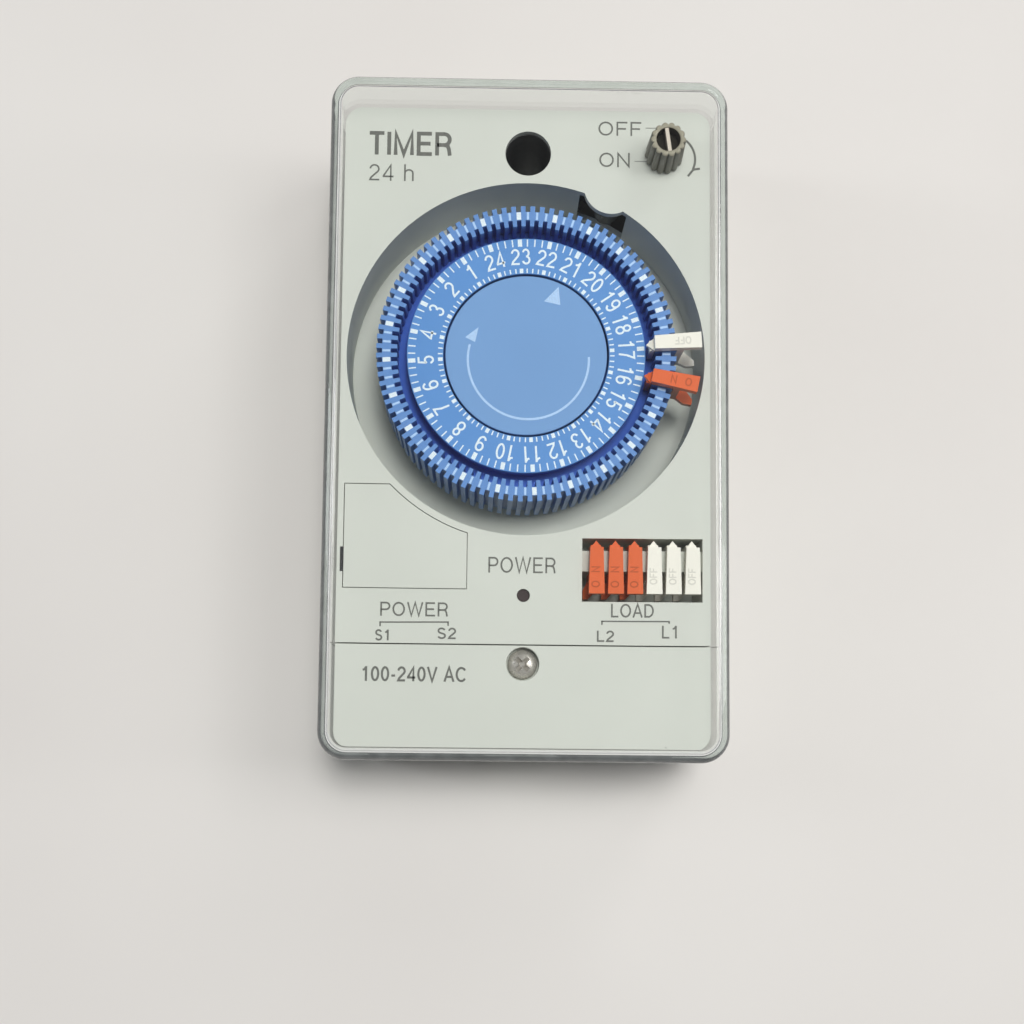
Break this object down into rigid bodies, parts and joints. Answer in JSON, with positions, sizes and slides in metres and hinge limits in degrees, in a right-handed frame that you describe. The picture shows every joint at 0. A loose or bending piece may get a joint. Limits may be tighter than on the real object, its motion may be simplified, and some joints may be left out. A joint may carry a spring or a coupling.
{
  "type": "programmable timer",
  "caption": "Wall-mounted mechanical day timer: light grey housing, clear lift-off cover, blue notched dial with pull-out pins, manual knob, spare pins and terminal cover.",
  "frame": {"origin": "centre of the back face, where the timer rests on the wall", "axes": "+X to the right seen from the front, +Y towards the timer's top, +Z out of the front"},
  "size_m": [0.072, 0.123, 0.053],
  "materials": {
    "housing_plastic": "fine moulded texture",
    "panel_plastic": "fine moulded texture",
    "clear_plastic": "clear polycarbonate",
    "dial_blue": "satin",
    "hour_blue": "satin, printed",
    "disc_blue": "satin, printed",
    "on_pin_red": "satin",
    "off_pin_white": "satin",
    "knob_grey": "satin",
    "gear_plastic": "acetal",
    "black_plastic": "moulded",
    "button_red": "moulded",
    "steel": "zinc plated",
    "nickel": "nickel plated",
    "brass": "satin",
    "board": "phenolic laminate",
    "film_yellow": "moulded",
    "capacitor_sleeve": "shrink sleeve",
    "led_red": "tinted epoxy, unlit",
    "battery_green": "shrink sleeve"
  },
  "bodies": {
    "housing": {"rear_housing": "housing_plastic", "front_panel": "panel_plastic", "centre_post": "gear_plastic", "centre_disc": "disc_blue", "detent_spring": "steel", "switch_case": "black_plastic", "gear_plate": "steel", "plate_pillars": "brass", "plate_screws": "nickel", "motor_case": "steel", "idler_arbor": "steel", "circuit_board": "board", "film_capacitor": "film_yellow", "smoothing_capacitor": "capacitor_sleeve", "power_led": "led_red", "backup_battery": "battery_green", "terminal_block_left": "black_plastic", "terminal_block_right": "black_plastic", "terminal_plate_s1": "brass", "terminal_plate_s2": "brass", "terminal_plate_l2": "brass", "terminal_plate_l1": "brass", "wire_clamp_s1": "steel", "wire_clamp_s2": "steel", "wire_clamp_l2": "steel", "wire_clamp_l1": "steel", "terminal_screws": "nickel", "housing_screws": "steel"},
    "cover": {"clear_cover": "clear_plastic"},
    "terminal_lid": {"terminal_cover": "panel_plastic", "terminal_cover_screw": "nickel"},
    "battery_door": {"battery_lid": "panel_plastic"},
    "dial": {"dial_drum": "dial_blue", "hour_ring": "hour_blue", "dial_gear": "gear_plastic"},
    "idler": {"idler_gear": "gear_plastic"},
    "motor_rotor": {"motor_pinion": "brass"},
    "on_pin_body": {"on_pin": "on_pin_red"},
    "off_pin_body": {"off_pin": "off_pin_white"},
    "knob": {"manual_knob": "knob_grey", "knob_pointer": "off_pin_white", "knob_spindle": "gear_plastic"},
    "trip": {"trip_wheel": "knob_grey"},
    "plunger": {"switch_plunger": "button_red"},
    "spare_on_pin_1_body": {"spare_on_pin_1": "on_pin_red"},
    "spare_on_pin_2_body": {"spare_on_pin_2": "on_pin_red"},
    "spare_on_pin_3_body": {"spare_on_pin_3": "on_pin_red"},
    "spare_off_pin_1_body": {"spare_off_pin_1": "off_pin_white"},
    "spare_off_pin_2_body": {"spare_off_pin_2": "off_pin_white"},
    "spare_off_pin_3_body": {"spare_off_pin_3": "off_pin_white"}
  },
  "joints": [
    {"name": "clear_cover_lift", "type": "slide", "parent": "housing", "child": "cover", "axis": [0, 0, 1], "range_m": [0, 0.045]},
    {"name": "dial_turn", "type": "hinge", "parent": "housing", "child": "dial", "pos_m": [0, 0.0125, 0.03], "axis": [0, 0, 1], "continuous": true},
    {"name": "idler_turn", "type": "hinge", "parent": "housing", "child": "idler", "pos_m": [0.01204, -0.00835, 0.015], "axis": [0, 0, 1], "continuous": true},
    {"name": "motor_turn", "type": "hinge", "parent": "housing", "child": "motor_rotor", "pos_m": [-0.00213, -0.01351, 0.012], "axis": [0, 0, 1], "continuous": true},
    {"name": "on_pin_pull", "type": "slide", "parent": "dial", "child": "on_pin_body", "axis": [0, 0, 1], "range_m": [0, 0.003]},
    {"name": "off_pin_pull", "type": "slide", "parent": "dial", "child": "off_pin_body", "axis": [0, 0, 1], "range_m": [0, 0.003]},
    {"name": "manual_knob_turn", "type": "hinge", "parent": "housing", "child": "knob", "pos_m": [0.0253, 0.0511, 0.04], "axis": [0, 0, 1], "continuous": true},
    {"name": "trip_wheel_turn", "type": "hinge", "parent": "housing", "child": "trip", "pos_m": [0.01558, 0.04501, 0.034], "axis": [0, 0, 1], "continuous": true},
    {"name": "switch_plunger_press", "type": "slide", "parent": "housing", "child": "plunger", "axis": [-1, 0, 0], "range_m": [0, 0.0008], "stiffness_N_per_m": 150},
    {"name": "battery_lid_lift", "type": "slide", "parent": "housing", "child": "battery_door", "axis": [0, 0, 1], "range_m": [0, 0.009]},
    {"name": "terminal_cover_lift", "type": "slide", "parent": "housing", "child": "terminal_lid", "axis": [0, 0, 1], "range_m": [0, 0.01]},
    {"name": "spare_on_pin_1_pull", "type": "slide", "parent": "housing", "child": "spare_on_pin_1_body", "axis": [0, 0, 1], "range_m": [0, 0.0088]},
    {"name": "spare_on_pin_2_pull", "type": "slide", "parent": "housing", "child": "spare_on_pin_2_body", "axis": [0, 0, 1], "range_m": [0, 0.0088]},
    {"name": "spare_on_pin_3_pull", "type": "slide", "parent": "housing", "child": "spare_on_pin_3_body", "axis": [0, 0, 1], "range_m": [0, 0.0088]},
    {"name": "spare_off_pin_1_pull", "type": "slide", "parent": "housing", "child": "spare_off_pin_1_body", "axis": [0, 0, 1], "range_m": [0, 0.0088]},
    {"name": "spare_off_pin_2_pull", "type": "slide", "parent": "housing", "child": "spare_off_pin_2_body", "axis": [0, 0, 1], "range_m": [0, 0.0088]},
    {"name": "spare_off_pin_3_pull", "type": "slide", "parent": "housing", "child": "spare_off_pin_3_body", "axis": [0, 0, 1], "range_m": [0, 0.0088]}
  ],
  "couplings": [
    {"joint": "idler_turn", "follows": "dial_turn", "ratio": -5},
    {"joint": "motor_turn", "follows": "dial_turn", "ratio": 20},
    {"joint": "trip_wheel_turn", "follows": "manual_knob_turn", "ratio": -1}
  ]
}
